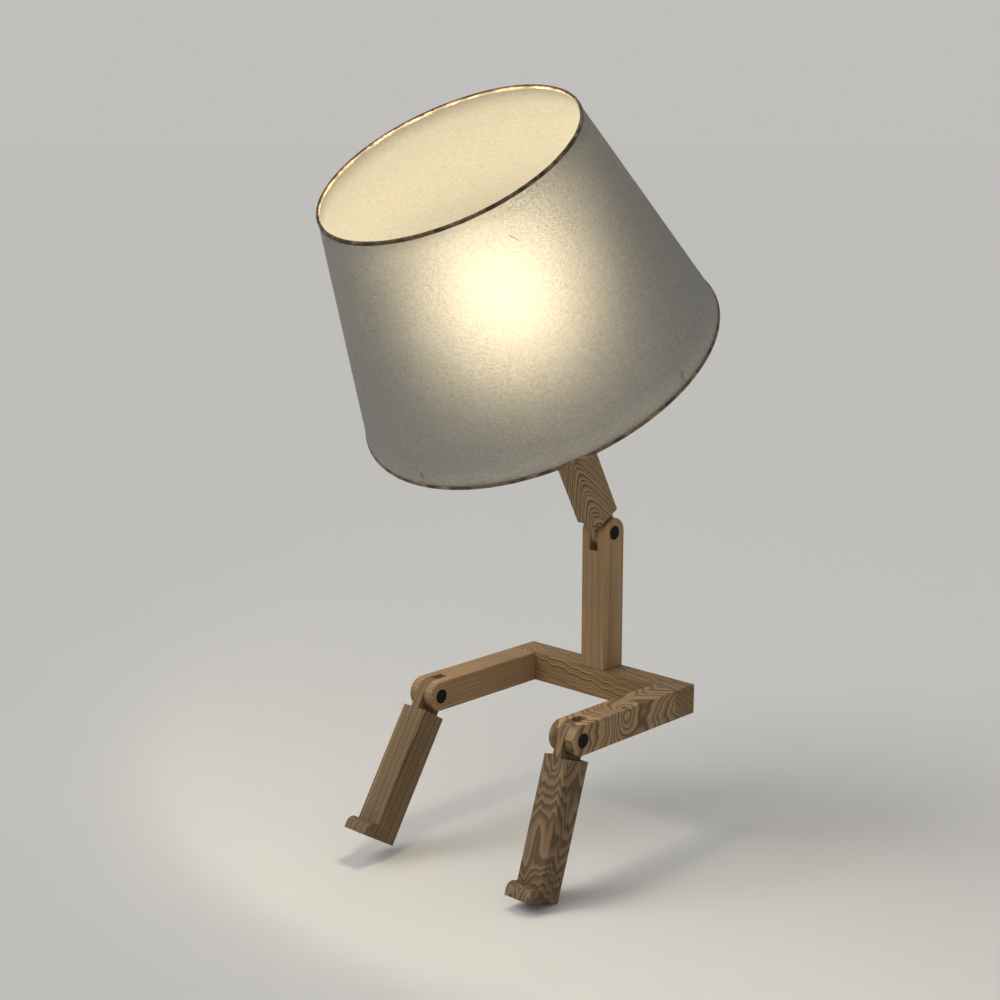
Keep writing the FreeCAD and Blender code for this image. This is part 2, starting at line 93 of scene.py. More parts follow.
def add(tree, kind, inputs=None, **settings):
    """A new node with its settings, and its inputs linked or set, by name or by number."""
    made = tree.nodes.new(kind)
    for key, value in settings.items():
        setattr(made, key, value)
    for key, value in (inputs or {}).items():
        if isinstance(value, bpy.types.NodeSocket):
            tree.links.new(value, made.inputs[key])
        else:
            made.inputs[key].default_value = value
    return made


def sum_of(tree, operation, *values):
    inputs = {number: value for number, value in enumerate(values)}
    return add(tree, "ShaderNodeMath", inputs, operation=operation).outputs[0]


def finish_material(tree, shader):
    add(tree, "ShaderNodeOutputMaterial", {"Surface": shader})


def new_object(name, mesh, *materials):
    made = bpy.data.objects.new(name, mesh)
    scene.collection.objects.link(made)
    for material in materials:
        made.data.materials.append(material)
    return made


floor_tone = (0.62, 0.61, 0.59, 1.0)
floor_reach = 40.0
floor_drop = 0.0002
floor_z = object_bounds()[0].z - floor_drop
floor_mesh = bpy.data.meshes.new("floor")
floor_signs = ((-1, -1), (1, -1), (1, 1), (-1, 1))
floor_corners = [(x * floor_reach, y * floor_reach, floor_z) for x, y in floor_signs]
floor_mesh.from_pydata(floor_corners, [], [(0, 1, 2, 3)])
floor_material, tree = new_material("pale floor")
finish_material(tree, add(tree, "ShaderNodeBsdfPrincipled", {
    "Base Color": floor_tone, "Roughness": 0.9, "Specular IOR Level": 0.2}).outputs[0])
new_object("floor", floor_mesh, floor_material)

surround_level = 0.5
surround_tone = (0.53, 0.52, 0.50, 1.0)
world = bpy.data.worlds.new("surround")
scene.world = world
world.use_nodes = True
tree = world.node_tree
tree.nodes.clear()
seen = add(tree, "ShaderNodeLightPath").outputs
shown = sum_of(tree, "MAXIMUM", seen["Is Camera Ray"], seen["Is Transmission Ray"])
shown = sum_of(tree, "MAXIMUM", shown, seen["Is Glossy Ray"])
lit = add(tree, "ShaderNodeBackground", {"Color": (1.0, 1.0, 1.0, 1.0), "Strength": surround_level})
backdrop = add(tree, "ShaderNodeBackground", {"Color": surround_tone, "Strength": 1.0})
both = add(tree, "ShaderNodeMixShader", {0: shown, 1: lit.outputs[0], 2: backdrop.outputs[0]})
add(tree, "ShaderNodeOutputWorld", {"Surface": both.outputs[0]})

key_energy = 1.4
key_softness = math.radians(38.0)
key_aim = Vector((0.50, 0.72, -1.0))
key_data = bpy.data.lights.new("key lamp", "SUN")
key_data.energy = key_energy
key_data.angle = key_softness
key_lamp = bpy.data.objects.new("key lamp", key_data)
key_lamp.rotation_mode = "QUATERNION"
key_lamp.rotation_quaternion = key_aim.to_track_quat("-Z", "Y")
scene.collection.objects.link(key_lamp)


# Ash bars
# Every bar is planed ash with an oiled, nearly matt face. The growth rings run through the wood, so that
# they meet round the arrises and show as arcs on the end grain. Each bar is cut from another board.
def vector_of(tree, operation, first, second):
    return add(tree, "ShaderNodeVectorMath", {0: first, 1: second}, operation=operation).outputs[0]


def scaled(tree, colour, factor):
    return add(tree, "ShaderNodeVectorMath", {0: colour, "Scale": factor}, operation="SCALE").outputs[0]


def axis_of(tree, vector, axis):
    return add(tree, "ShaderNodeSeparateXYZ", {0: vector}).outputs[axis]


def ranged(tree, value, low, high, to_low=0.0, to_high=1.0, **settings):
    """A value taken from one span to another, and held at its ends."""
    return add(tree, "ShaderNodeMapRange", {"Value": value, "From Min": low, "From Max": high,
                                            "To Min": to_low, "To Max": to_high}, **settings).outputs[0]


def noise_of(tree, place, scale, detail, **inputs):
    return add(tree, "ShaderNodeTexNoise", {"Vector": place, "Scale": scale, "Detail": detail,
                                            **inputs}).outputs[0]


def in_frame(tree, vector, turn, middle=(0.0, 0.0, 0.0)):
    """A place or a direction as a turned and moved frame has it."""
    return add(tree, "ShaderNodeMapping", {"Vector": vector, "Location": middle, "Rotation": turn},
               vector_type="TEXTURE").outputs[0]


def stretched(tree, place, scale, shift=(0.0, 0.0, 0.0)):
    return add(tree, "ShaderNodeMapping", {"Vector": place, "Location": shift, "Scale": scale}).outputs[0]


def ash(name, middle, turn, tone, contrast, ring, pith=(0.04, -0.03), core=0.004, spread=1.0, climb=0.0,
        waver=(0.001, 0.001, 0.001), waver_scale=(20.0, 20.0, 8.0), waver_detail=1.0, seed=0.0, eye=None,
        pale_share=0.22, dark_from=0.95, glue_line=None):
    """Growth surfaces in a bar's own frame, with Z along it. They are rings about a pith, times spread,
    and they climb along the bar. An eye is a place, a size and the years that swell round it. A year is
    pale for its first share and dark from another. A glue line is where the bar is butted on another."""
    material, tree = new_material(name)
    own = in_frame(tree, add(tree, "ShaderNodeTexCoord").outputs["Object"], turn, middle)

    # How many years lie between a point and the pith, wavering as a trunk does
    broad = stretched(tree, own, waver_scale, (seed, seed, seed))
    wave = add(tree, "ShaderNodeTexNoise", {"Vector": broad, "Scale": 1.0, "Detail": waver_detail,
                                            "Roughness": 0.45}).outputs["Color"]
    wave = vector_of(tree, "SUBTRACT", wave, (0.5, 0.5, 0.5))
    wave = vector_of(tree, "MULTIPLY", wave, waver)
    bent = vector_of(tree, "ADD", own, wave)
    out = vector_of(tree, "SUBTRACT", bent, (pith[0], pith[1], 0.0))
    out = vector_of(tree, "MULTIPLY", out, (1.0, 1.0, 0.0))
    out = vector_of(tree, "ADD", out, (0.0, 0.0, core))
    reach = add(tree, "ShaderNodeVectorMath", {0: out}, operation="LENGTH").outputs["Value"]
    reach = sum_of(tree, "MULTIPLY", reach, spread)
    rise = sum_of(tree, "MULTIPLY", axis_of(tree, bent, "Z"), climb)
    years = sum_of(tree, "DIVIDE", sum_of(tree, "ADD", reach, rise), ring)
    if eye:
        eye_place, eye_size, eye_years = eye
        from_eye = add(tree, "ShaderNodeVectorMath", {0: own, 1: eye_place},
                       operation="DISTANCE").outputs["Value"]
        fall = sum_of(tree, "POWER", sum_of(tree, "DIVIDE", from_eye, eye_size), 2.0)
        swell = sum_of(tree, "EXPONENT", sum_of(tree, "MULTIPLY", fall, -1.0))
        years = sum_of(tree, "ADD", years, sum_of(tree, "MULTIPLY", swell, eye_years))
    uneven_scale = 0.55
    uneven_years = 1.2
    uneven = add(tree, "ShaderNodeTexNoise", {"W": years, "Scale": uneven_scale, "Detail": 0.0},
                 noise_dimensions="1D").outputs[0]
    years = sum_of(tree, "ADD", years, sum_of(tree, "MULTIPLY", uneven, uneven_years))
    year = sum_of(tree, "FRACT", years)

    # One year's growth: a sharp pale edge that darkens into the open-grained band
    pale = [part * (1.0 + gain * contrast) for part, gain in zip(tone, (0.42, 0.45, 0.48))]
    light = [part * (1.0 + gain * contrast) for part, gain in zip(tone, (0.12, 0.13, 0.14))]
    dark = [part * (1.0 - loss * contrast) for part, loss in zip(tone, (0.42, 0.46, 0.52))]
    growth = add(tree, "ShaderNodeValToRGB", {"Fac": year})
    stops = growth.color_ramp.elements
    middle_share = 0.5 * (pale_share + dark_from)
    bands = ((0.0, pale), (0.5 * pale_share, pale), (pale_share, light), (middle_share, tone),
             (dark_from, dark), (0.96, dark), (1.0, pale))
    while len(stops) < len(bands):
        stops.new(0.5)
    for stop, (position, colour) in zip(stops, bands):
        stop.position = position
        stop.color = (*colour, 1.0)

    # Long fibres, short open pores in the darker band, and broad uneven tone
    fibre_scale = (1300.0, 1300.0, 40.0)
    pore_scale = (2400.0, 2400.0, 190.0)
    streak_scale = (190.0, 190.0, 5.0)
    board_scale = 26.0
    pore_shade = 0.4
    end_shade = 0.22
    glue_shade = 0.45
    fibre = noise_of(tree, stretched(tree, own, fibre_scale), 1.0, 3.0, Roughness=0.65)
    open_band = ranged(tree, year, 0.45, 0.95)
    pore = ranged(tree, noise_of(tree, stretched(tree, own, pore_scale), 1.0, 1.0), 0.55, 0.66)
    pore = sum_of(tree, "MULTIPLY", pore, open_band)
    streak = ranged(tree, fibre, 0.3, 0.7, 0.86, 1.14)
    board = ranged(tree, noise_of(tree, own, board_scale, 2.0), 0.3, 0.7, 0.92, 1.09)
    broad_streak = noise_of(tree, stretched(tree, own, streak_scale), 1.0, 1.0)
    broad_streak = ranged(tree, broad_streak, 0.3, 0.7, 0.93, 1.07)
    lightness = sum_of(tree, "MULTIPLY", sum_of(tree, "MULTIPLY", streak, board), broad_streak)
    if glue_line is not None:
        past_joint = sum_of(tree, "ABSOLUTE", sum_of(tree, "SUBTRACT", axis_of(tree, own, "Z"), glue_line))
        joint_shade = ranged(tree, past_joint, 0.0001, 0.0004, glue_shade)
        lightness = sum_of(tree, "MULTIPLY", lightness, joint_shade)

    # End grain and open pores drink more oil, and look darker
    facing = in_frame(tree, add(tree, "ShaderNodeTexCoord").outputs["Normal"], turn)
    endwise = sum_of(tree, "POWER", sum_of(tree, "ABSOLUTE", axis_of(tree, facing, "Z")), 2.0)
    for share, loss in ((endwise, end_shade), (pore, pore_shade)):
        kept = sum_of(tree, "SUBTRACT", 1.0, sum_of(tree, "MULTIPLY", share, loss))
        lightness = sum_of(tree, "MULTIPLY", lightness, kept)
    colour = scaled(tree, growth.outputs["Color"], lightness)

    relief = sum_of(tree, "SUBTRACT", sum_of(tree, "MULTIPLY", fibre, 0.35), pore)
    relief = sum_of(tree, "SUBTRACT", relief, sum_of(tree, "MULTIPLY", open_band, 0.3))
    bump = add(tree, "ShaderNodeBump", {"Height": relief, "Strength": 0.4, "Distance": 0.00012}).outputs[0]
    rough = ranged(tree, relief, -1.0, 0.4, 0.75, 0.52)
    finish_material(tree, add(tree, "ShaderNodeBsdfPrincipled", {
        "Base Color": colour, "Roughness": rough, "Normal": bump, "Specular IOR Level": 0.25}).outputs[0])
    return material


def dress(node, material):
    """Gives a CAD piece its finish."""
    data = nodes[node].data
    data.materials.clear()
    data.materials.append(material)


bar = 0.020
head_nod = math.radians(28.0)
left_swing = math.radians(32.0)
right_swing = math.radians(18.0)
neck_pivot = Vector(joint["neck_tilt"]["pos_m"])
left_pivot = Vector(joint["left_knee"]["pos_m"])
right_pivot = Vector(joint["right_knee"]["pos_m"])

along_x = (0.0, math.radians(90.0), 0.0)
along_y = (math.radians(-90.0), 0.0, 0.0)
thigh_reach = 0.092
torso_reach = 0.094
dress("crossbar", ash("ash of the crossbar", (0.0, 0.0, bar / 2), along_x, tone=(0.222, 0.137, 0.060),
                      contrast=1.4, ring=0.0016, pith=(0.060, -0.050), climb=0.12,
                      waver=(0.0046, 0.0046, 0.0), waver_scale=(40.0, 40.0, 130.0), waver_detail=1.5))
dress("torso", ash("ash of the torso", neck_pivot, (0.0, 0.0, 0.0), tone=(0.310, 0.195, 0.097),
                   contrast=0.20, ring=0.0050, pith=(-0.052, 0.030), waver=(0.0016, 0.0016, 0.0016),
                   pale_share=0.5, glue_line=-torso_reach))
dress("left_thigh", ash("ash of the left thigh", left_pivot, along_y, tone=(0.262, 0.163, 0.078),
                        contrast=1.0, ring=0.0015, pith=(0.0, 0.300), waver=(0.0, 0.0022, 0.0),
                        waver_scale=(20.0, 30.0, 62.0), glue_line=thigh_reach))
dress("left_shin", ash("ash of the left shin", left_pivot, (-left_swing, 0.0, 0.0),
                       tone=(0.143, 0.092, 0.044), contrast=1.35, ring=0.00145, pith=(-0.052, 0.044),
                       climb=0.008, waver=(0.0012, 0.0012, 0.0)))
dress("right_thigh", ash("figured ash of the right thigh", right_pivot, along_y, tone=(0.225, 0.144, 0.072),
                         contrast=1.0, ring=0.0082, spread=0.30, climb=1.0, waver=(0.004, 0.004, 0.030),
                         waver_scale=(80.0, 80.0, 20.0), waver_detail=0.6, seed=5.0, pale_share=0.5,
                         dark_from=0.80, eye=((0.009, -0.004, 0.040), 0.0130, 5.6), glue_line=thigh_reach))
dress("right_shin", ash("figured ash of the right shin", right_pivot, (-right_swing, 0.0, 0.0),
                        tone=(0.150, 0.096, 0.050), contrast=0.8, ring=0.0098, spread=0.2, climb=1.0,
                        waver=(0.002, 0.002, 0.078), waver_scale=(105.0, 105.0, 19.0), waver_detail=0.7,
                        seed=1.0, pale_share=0.34, dark_from=0.60))
dress("neck", ash("figured ash of the neck", neck_pivot, (head_nod, 0.0, 0.0), tone=(0.205, 0.134, 0.067),
                  contrast=1.45, ring=0.0019, pith=(0.0095, -0.0105), climb=0.42, core=0.0034,
                  waver=(0.0024, 0.0024, 0.0024), waver_scale=(40.0, 40.0, 14.0), pale_share=0.5,
                  dark_from=0.85))


# Dowels
# Two turned beech pins glue each butt joint. They are hidden inside the two bars, and plain: pale wood
# with fine flecks.
beech, tree = new_material("turned beech")
fleck = noise_of(tree, add(tree, "ShaderNodeTexCoord").outputs["Object"], 900.0, 2.0)
beech_tone = add(tree, "ShaderNodeValToRGB", {"Fac": fleck})
beech_tone.color_ramp.elements[0].color = (0.30, 0.19, 0.10, 1.0)
beech_tone.color_ramp.elements[1].color = (0.44, 0.30, 0.17, 1.0)
finish_material(tree, add(tree, "ShaderNodeBsdfPrincipled",
                          {"Base Color": beech_tone.outputs[0], "Roughness": 0.65}).outputs[0])
for group in ("left_thigh_dowels", "right_thigh_dowels", "torso_dowels"):
    dress(group, beech)


# Knuckles
# Each knuckle turns on a zinc plated sleeve nut, drawn up by a flanged screw on thin nylon washers.
# Black plugs with a satin skin close the counterbores, flush with the ears.
def speckled(name, low, high, scale, rough=(0.35, 0.55), metallic=0.0, relief=0.0, specular=0.5):
    """A finish whose tone and roughness drift a little over the surface."""
    material, tree = new_material(name)
    place = add(tree, "ShaderNodeTexCoord").outputs["Object"]
    drift = noise_of(tree, place, scale, 4.0, Roughness=0.6)
    tone = add(tree, "ShaderNodeValToRGB", {"Fac": drift})
    for stop, position, colour in zip(tone.color_ramp.elements, (0.32, 0.68), (low, high)):
        stop.position = position
        stop.color = (*colour, 1.0)
    inputs = {"Base Color": tone.outputs[0], "Roughness": ranged(tree, drift, 0.3, 0.7, *rough),
              "Metallic": metallic, "Specular IOR Level": specular}
    if relief:
        inputs["Normal"] = add(tree, "ShaderNodeBump", {"Height": drift, "Strength": 0.4,
                                                        "Distance": relief}).outputs[0]
    finish_material(tree, add(tree, "ShaderNodeBsdfPrincipled", inputs).outputs[0])
    return material


plug_black = speckled("black plug", (0.003, 0.001, 0.002), (0.007, 0.003, 0.004), 700.0, (0.42, 0.55),
                      relief=0.00003, specular=0.10)
zinc = speckled("zinc plate", (0.52, 0.52, 0.50), (0.66, 0.66, 0.63), 500.0, (0.28, 0.42), metallic=1.0)
nylon = speckled("grey nylon", (0.05, 0.045, 0.04), (0.08, 0.07, 0.06), 900.0, (0.5, 0.65))
for knuckle in ("neck", "left_knee", "right_knee"):
    dress(knuckle + "_plugs", plug_black)
    dress(knuckle + "_screw", zinc)
    dress(knuckle + "_sleeve_nut", zinc)
    dress(knuckle + "_washers", nylon)


# Cable bush
# A black grommet pressed into the neck's back, where the cable enters the drilled way. Its skin is
# satin, as moulded.
dress("cable_bush", speckled("moulded black", (0.012, 0.012, 0.012), (0.028, 0.027, 0.026), 800.0,
                             (0.42, 0.58), relief=0.00002))


# Lampholder
# The brass nipple and its nut hold a white moulded dome and body, screwed together round a ceramic
# insert with brass contacts. Two moulded rings on the outer thread grip the shade's carrier.
turned_brass = speckled("turned brass", (0.60, 0.42, 0.17), (0.74, 0.55, 0.25), 420.0, (0.25, 0.4),
                        metallic=1.0)
ivory_moulding = speckled("ivory moulding", (0.52, 0.48, 0.40), (0.60, 0.56, 0.47), 600.0, (0.32, 0.45),
                          relief=0.00002)
bare_ceramic = speckled("bare ceramic", (0.62, 0.60, 0.55), (0.72, 0.70, 0.65), 700.0, (0.6, 0.8),
                        relief=0.00003)
for piece in ("nipple", "nipple_nut", "holder_contacts", "bulb_tip"):
    dress(piece, turned_brass)
for piece in ("holder_dome", "holder_body", "lower_shade_ring", "upper_shade_ring"):
    dress(piece, ivory_moulding)
dress("holder_insert", bare_ceramic)

# Heights run along the shade's axis from the neck's upper end, which is mitred against the neck's line.
neck_reach = 0.100
end_mitre = math.radians(4.0)
head_turn = head_nod + end_mitre
neck_end = neck_pivot + Vector((0.0, -math.sin(head_nod), math.cos(head_nod))) * neck_reach
head_place = Matrix.Translation(neck_end) @ Matrix.Rotation(head_turn, 4, "X")


def put_on_head(data):
    """Moves a mesh from the lampholder's upright frame to its place in the pose."""
    data.transform(head_place)
    data.update()
    return data


def upright(tree):
    """Places in the lampholder's upright frame, for a material on the head."""
    place = add(tree, "ShaderNodeTexCoord").outputs["Object"]
    return in_frame(tree, place, (head_turn, 0.0, 0.0), neck_end)


# Ring grips
# The shade rings have moulded ribs round their collars for the fingers. One small rib is repeated
# round each collar.
def growing_tree(name, values):
    """A geometry group with one input for each value, and the sockets that carry them."""
    tree = bpy.data.node_groups.new(name, "GeometryNodeTree")
    tree.is_modifier = True
    kinds = {int: "NodeSocketInt", float: "NodeSocketFloat", bpy.types.Material: "NodeSocketMaterial"}
    for key, value in values.items():
        socket = tree.interface.new_socket(name=key, in_out="INPUT", socket_type=kinds[type(value)])
        socket.default_value = value
    tree.interface.new_socket(name="Geometry", in_out="OUTPUT", socket_type="NodeSocketGeometry")
    return tree, add(tree, "NodeGroupInput").outputs


def grown(name, tree, values):
    """The plain mesh that a geometry group makes from these values."""
    seed = new_object(name + " seed", bpy.data.meshes.new(name + " seed"))
    modifier = seed.modifiers.new("grow", "NODES")
    modifier.node_group = tree
    for item in tree.interface.items_tree:
        if item.in_out == "INPUT":
            modifier[item.identifier] = values[item.name]
    evaluated = seed.evaluated_get(bpy.context.evaluated_depsgraph_get())
    mesh = bpy.data.meshes.new_from_object(evaluated)
    mesh.name = name
    bpy.data.objects.remove(seed)
    return mesh


hub_seat = 0.046
hub_thick = 0.0015
collar_middle = 0.0033
rib_sides = 6
rib_radius = 0.00055
rib_values = {"Collar radius": 0.0225, "Rib count": 44, "Rib height": 0.0032, "Middle": 0.0,
              "Finish": ivory_moulding}
rib_tree, given = growing_tree("ribs round a collar", rib_values)
ring_curve = add(rib_tree, "GeometryNodeCurvePrimitiveCircle", {
    "Resolution": given["Rib count"], "Radius": given["Collar radius"]})
ring_points = add(rib_tree, "GeometryNodeCurveToPoints", {
    "Curve": ring_curve.outputs["Curve"], "Count": given["Rib count"]})
rib = add(rib_tree, "GeometryNodeMeshCylinder", {
    "Vertices": rib_sides, "Radius": rib_radius, "Depth": given["Rib height"]})
lift = add(rib_tree, "ShaderNodeCombineXYZ", {"Z": given["Middle"]})
ribs = add(rib_tree, "GeometryNodeInstanceOnPoints", {
    "Points": ring_points.outputs["Points"], "Instance": rib.outputs["Mesh"]})
ribs = add(rib_tree, "GeometryNodeTransform", {"Geometry": ribs.outputs[0], "Translation": lift.outputs[0]})
ribs = add(rib_tree, "GeometryNodeRealizeInstances", {"Geometry": ribs.outputs[0]})
ribs = add(rib_tree, "GeometryNodeSetMaterial", {"Geometry": ribs.outputs[0], "Material": given["Finish"]})
add(rib_tree, "NodeGroupOutput", {0: ribs.outputs[0]})

for name, middle in (("lower_ring_grips", hub_seat - collar_middle),
                     ("upper_ring_grips", hub_seat + hub_thick + collar_middle)):
    mesh = grown(name, rib_tree, {**rib_values, "Middle": middle})
    grips = new_object(name, put_on_head(mesh))
    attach(grips, "head")


# Bulb
# A frosted bulb of the usual pear shape. Its globe glows brightest at the top, and little near the cap,
# which is pressed aluminium, with a black glass insulator and a brass tip below.
cap_top = 0.0576
glass_in_cap = 0.0015
throat_radius = 0.012
throat_top = cap_top + 0.002
bulb_centre = 0.1021
bulb_radius = 0.0275
dress("bulb_cap", speckled("pressed aluminium", (0.55, 0.55, 0.55), (0.68, 0.68, 0.67), 500.0, (0.3, 0.45),
                           metallic=1.0))
dress("bulb_insulator", speckled("black glass", (0.010, 0.010, 0.012), (0.016, 0.016, 0.018), 500.0,
                                 (0.12, 0.2)))

bulb_profile = [(0.0, cap_top - glass_in_cap), (throat_radius, cap_top - glass_in_cap),
                (throat_radius, throat_top)]
shoulder_steps = 9
globe_steps = 18
join = math.radians(-32.0)
join_radius = bulb_radius * math.cos(join)
join_height = bulb_centre + bulb_radius * math.sin(join)
for step in range(1, shoulder_steps):
    share = step / shoulder_steps
    ease = share * share * (3.0 - 2.0 * share)
    swell = 0.35 * share + 0.65 * ease * share
    bulb_profile.append((throat_radius + (join_radius - throat_radius) * swell,
                         throat_top + (join_height - throat_top) * share))
for step in range(globe_steps + 1):
    rise = join + (math.radians(90.0) - join) * step / globe_steps
    bulb_profile.append((bulb_radius * math.cos(rise), bulb_centre + bulb_radius * math.sin(rise)))


def spun(name, profile, around):
    """A closed mesh of revolution about Z from (radius, height) points."""
    mesh = bpy.data.meshes.new(name)
    form = bmesh.new()
    rings = []
    for radius, height in profile:
        ring = []
        for step in range(around):
            turn = 2.0 * math.pi * step / around
            ring.append(form.verts.new((radius * math.cos(turn), radius * math.sin(turn), height)))
        rings.append(ring)
    for lower, upper in zip(rings, rings[1:]):
        for step in range(around):
            after = (step + 1) % around
            form.faces.new((lower[step], lower[after], upper[after], upper[step]))
    bmesh.ops.remove_doubles(form, verts=form.verts, dist=1e-6)
    bmesh.ops.recalc_face_normals(form, faces=form.faces)
    for face in form.faces:
        face.smooth = True
    form.to_mesh(mesh)
    form.free()
    return mesh


bulb_sides = 64
bulb_glow = 245.0
least_glow = 0.15 * bulb_glow
glow_reach = 0.6 * bulb_radius
frosted, tree = new_material("frosted glow")
frost = noise_of(tree, add(tree, "ShaderNodeTexCoord").outputs["Object"], 1500.0, 2.0)
frost_rough = ranged(tree, frost, 0.0, 1.0, 0.35, 0.6)
glow = ranged(tree, axis_of(tree, upright(tree), "Z"), bulb_centre - glow_reach, bulb_centre + glow_reach,
              least_glow, bulb_glow, interpolation_type="SMOOTHSTEP")
finish_material(tree, add(tree, "ShaderNodeBsdfPrincipled", {
    "Base Color": (0.85, 0.82, 0.72, 1.0), "Roughness": frost_rough,
    "Emission Color": (1.0, 0.88, 0.64, 1.0), "Emission Strength": glow}).outputs[0])
bulb = new_object("bulb", put_on_head(spun("bulb", bulb_profile, bulb_sides)), frosted)
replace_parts(bulb, "bulb_glass")
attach(bulb, "head")


# Shade carrier
# Wire spokes welded to a flat hub ring run out to the wall and turn down along it. All of it is
# lacquered white, a little uneven over the welds.
white_lacquer = speckled("white lacquer", (0.50, 0.47, 0.40), (0.58, 0.55, 0.47), 300.0, (0.3, 0.45),
                         relief=0.00003)
dress("shade_carrier", white_lacquer)
dress("bottom_rim_wire", white_lacquer)
dress("top_rim_wire", white_lacquer)


# Shade
# A cone of thick translucent fibre paper, pitted like hammered sheet, pasted to the two rim wires. The
# wall is one closed form with the pits in its outer face. Light from the bulb passes through that face
# in a narrow lobe and a wider haze. The outer face's colour is painted far darker than pale paper, as
# painted shade, and both faces carry a painted glow; the inner face's glow shines evenly.
shade_base = 0.034
shade_height = 0.152
rim_bead = 0.00097
foot_radius = 0.119 - rim_bead
head_radius = 0.084 - rim_bead
lean = math.atan2(foot_radius - head_radius, shade_height - 2.0 * rim_bead)
wall_length = (shade_height - 2.0 * rim_bead) / math.cos(lean) + 2.0 * rim_bead
paper_thick = 0.0008
half_wall = paper_thick / 2.0
paper_inset = 0.00162
pit_deep = 0.00022
pit_scale = 210.0
pit_narrowing = 1.35
swell_scale = pit_scale * 0.42
rows = 118
plain_rows = 3
inner_rows = 12
columns = 600


def on_wall(along, outward):
    """Radius and height, along the wall from the lower rim and off the wall's middle."""
    way = along - rim_bead
    return (foot_radius - way * math.sin(lean) + outward * math.cos(lean),
            shade_base + rim_bead + way * math.cos(lean) + outward * math.sin(lean))


def pit(point):
    """How deep the paper is pressed in at a point, from 0 to 1."""
    nearest = noise.voronoi(point * pit_scale)[0][0]
    cell = max(0.0, 1.0 - nearest * pit_narrowing)
    swell = 0.5 + 0.5 * noise.noise(point * swell_scale)
    return min(1.0, cell * (0.35 + 0.9 * swell))


points = []
for row in range(rows + 1):
    along = paper_inset + (wall_length - 2.0 * paper_inset) * row / rows
    radius, height = on_wall(along, half_wall)
    at_rim = min(row, rows - row) < plain_rows
    for column in range(columns):
        turn = 2.0 * math.pi * column / columns
        point = Vector((radius * math.cos(turn), radius * math.sin(turn), height))
        inward = 0.0 if at_rim else pit_deep * pit(point)
        points.append(((radius - inward) * math.cos(turn), (radius - inward) * math.sin(turn), height))
for row in range(inner_rows + 1):
    along = paper_inset + (wall_length - 2.0 * paper_inset) * (1.0 - row / inner_rows)
    radius, height = on_wall(along, -half_wall)
    for column in range(columns):
        turn = 2.0 * math.pi * column / columns
        points.append((radius * math.cos(turn), radius * math.sin(turn), height))
faces = []
rings = rows + 1 + inner_rows + 1
for row in range(rings):
    here = row * columns
    above = (row + 1) % rings * columns
    for column in range(columns):
        after = (column + 1) % columns
        faces.append((here + column, here + after, above + after, above + column))
outer_faces = (rows + 1) * columns
face_materials = [0 if number < outer_faces else 1 for number in range(len(faces))]
paper_mesh = bpy.data.meshes.new("paper_shade")
paper_mesh.from_pydata(points, [], faces)
paper_mesh.polygons.foreach_set("use_smooth", [True] * len(faces))
paper_mesh.polygons.foreach_set("material_index", face_materials)


def paper_grain(tree, place):
    """Pulp relief: pressed hollows, drawn out round the shade, under a fine tooth, from about 0 to 1."""
    place = stretched(tree, place, (1.0, 1.0, 1.7))
    hollow = noise_of(tree, place, 360.0, 2.0, Roughness=0.55, Distortion=0.3)
    tooth = noise_of(tree, place, 1050.0, 2.0, Roughness=0.75)
    return sum_of(tree, "ADD", sum_of(tree, "MULTIPLY", hollow, 0.6), sum_of(tree, "MULTIPLY", tooth, 0.4))


def refracted(tree, colour, scatter, index, **inputs):
    """Light that goes on through the paper and spreads."""
    return add(tree, "ShaderNodeBsdfRefraction", {"Color": colour, "Roughness": scatter, "IOR": index,
                                                  **inputs}, distribution="BECKMANN").outputs[0]


paper_share = 0.14
paper_scatter = 0.88
paper_index = 1.47
haze_share = 0.60
haze_scatter = 1.0
haze_index = 1.62
outside, tree = new_material("fibre paper, outer face")
place = upright(tree)
grain = paper_grain(tree, place)
mottled = ranged(tree, grain, 0.36, 0.64, 0.88, 1.12)

# The carrier's spokes touch the wall at four places; at each the paper is darkened a little, a painted shadow
# of the spoke foot seen through the paper
foot_height = 0.0080
shadow_core = 0.0006
shadow_edge = 0.0026
shadow_depth = 0.62
aside = sum_of(tree, "MINIMUM", sum_of(tree, "ABSOLUTE", axis_of(tree, place, "X")),
               sum_of(tree, "ABSOLUTE", axis_of(tree, place, "Y")))
upward = sum_of(tree, "SUBTRACT", axis_of(tree, place, "Z"), shade_base + foot_height)
from_foot = sum_of(tree, "SQRT", sum_of(tree, "ADD", sum_of(tree, "POWER", aside, 2.0),
                                        sum_of(tree, "POWER", upward, 2.0)))
spoke_foot_shadow = ranged(tree, from_foot, shadow_core, shadow_edge, shadow_depth, interpolation_type="SMOOTHSTEP")
mottled = sum_of(tree, "MULTIPLY", mottled, spoke_foot_shadow)

paper_relief = 0.0034
through_relief = 0.0026
paper_bump = add(tree, "ShaderNodeBump", {
    "Height": grain, "Strength": 1.0, "Distance": paper_relief}).outputs[0]
through_bump = add(tree, "ShaderNodeBump", {
    "Height": grain, "Strength": 1.0, "Distance": through_relief}).outputs[0]
# Painted shade and painted glow: the face colour is far darker than pale paper's own, and a faint even
# emission stands in for the bulb's light scattered through the wall.
face = add(tree, "ShaderNodeBsdfPrincipled", {
    "Base Color": scaled(tree, (0.300, 0.292, 0.270), mottled), "Roughness": 0.85,
    "Specular IOR Level": 0.15, "Normal": paper_bump,
    "Emission Color": (1.0, 0.93, 0.80, 1.0), "Emission Strength": 0.022}).outputs[0]
through_tone = scaled(tree, (1.0, 0.955, 0.82), mottled)
through = refracted(tree, through_tone, paper_scatter, paper_index, Normal=through_bump)
haze = refracted(tree, through_tone, haze_scatter, haze_index, Normal=through_bump)
through = add(tree, "ShaderNodeMixShader", {0: haze_share, 1: through, 2: haze}).outputs[0]
finish_material(tree, add(tree, "ShaderNodeMixShader", {0: paper_share, 1: face, 2: through}).outputs[0])
